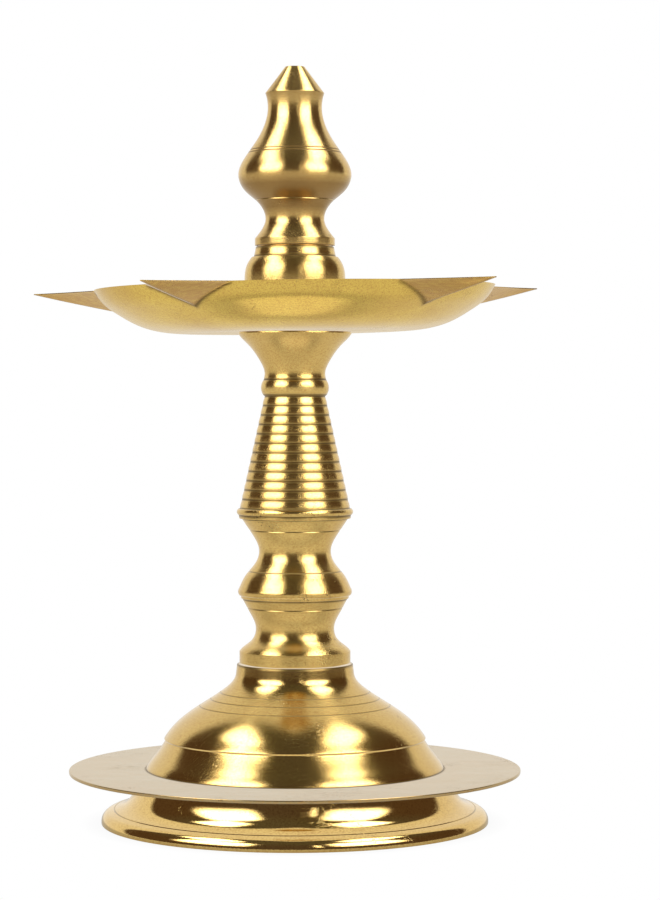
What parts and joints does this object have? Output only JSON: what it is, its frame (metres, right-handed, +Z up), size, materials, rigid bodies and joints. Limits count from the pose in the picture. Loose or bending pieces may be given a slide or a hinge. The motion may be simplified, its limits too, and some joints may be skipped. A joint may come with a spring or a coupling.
{
  "type": "standing oil lamp",
  "caption": "Brass standing oil lamp (samai): turned and ribbed stem, domed base with drip tray, oil plate with pinched wick spouts, finial.",
  "frame": {"origin": "on the lamp's axis, at the level of the foot's underside", "axes": "+Z up along the lamp's axis; the front, between two spouts, faces -Y and +X is to its right"},
  "size_m": [0.2188, 0.2141, 0.315],
  "materials": {
    "polished_brass": "polished, with fine turning marks",
    "sheet_brass": "satin, hand filed and buffed",
    "stud_brass": "machined thread, dull"
  },
  "bodies": {
    "base": {"foot_ring": "polished_brass", "drip_tray": "sheet_brass", "base_dome": "polished_brass"},
    "base_screw": {"base_stud": "stud_brass"},
    "lower_stem": {"lower_stem": "polished_brass"},
    "stem_screw": {"stem_stud": "stud_brass"},
    "upper_stem": {"upper_stem": "polished_brass"},
    "plate": {"oil_plate": "sheet_brass", "plate_collar": "polished_brass"},
    "finial_screw": {"finial_stud": "stud_brass"},
    "finial": {"finial": "polished_brass"}
  },
  "joints": [
    {"name": "lower_stem_lift", "type": "slide", "parent": "base", "child": "base_screw", "axis": [0, 0, 1], "range_m": [0, 0.0122]},
    {"name": "lower_stem_turn", "type": "hinge", "parent": "base_screw", "child": "lower_stem", "pos_m": [0, 0, 0.066], "axis": [0, 0, 1], "range_deg": [0, 2160]},
    {"name": "upper_stem_lift", "type": "slide", "parent": "lower_stem", "child": "stem_screw", "axis": [0, 0, 1], "range_m": [0, 0.0122]},
    {"name": "upper_stem_turn", "type": "hinge", "parent": "stem_screw", "child": "upper_stem", "pos_m": [0, 0, 0.1268], "axis": [0, 0, 1], "range_deg": [0, 2160]},
    {"name": "plate_turn", "type": "hinge", "parent": "upper_stem", "child": "plate", "pos_m": [0, 0, 0.2046], "axis": [0, 0, 1], "continuous": true},
    {"name": "finial_lift", "type": "slide", "parent": "upper_stem", "child": "finial_screw", "axis": [0, 0, 1], "range_m": [0, 0.0122]},
    {"name": "finial_turn", "type": "hinge", "parent": "finial_screw", "child": "finial", "pos_m": [0, 0, 0.24], "axis": [0, 0, 1], "range_deg": [0, 2160]}
  ],
  "couplings": [
    {"joint": "lower_stem_lift", "follows": "lower_stem_turn", "m_per_rad": 0.00031831},
    {"joint": "upper_stem_lift", "follows": "upper_stem_turn", "m_per_rad": 0.00031831},
    {"joint": "finial_lift", "follows": "finial_turn", "m_per_rad": 0.00031831}
  ]
}
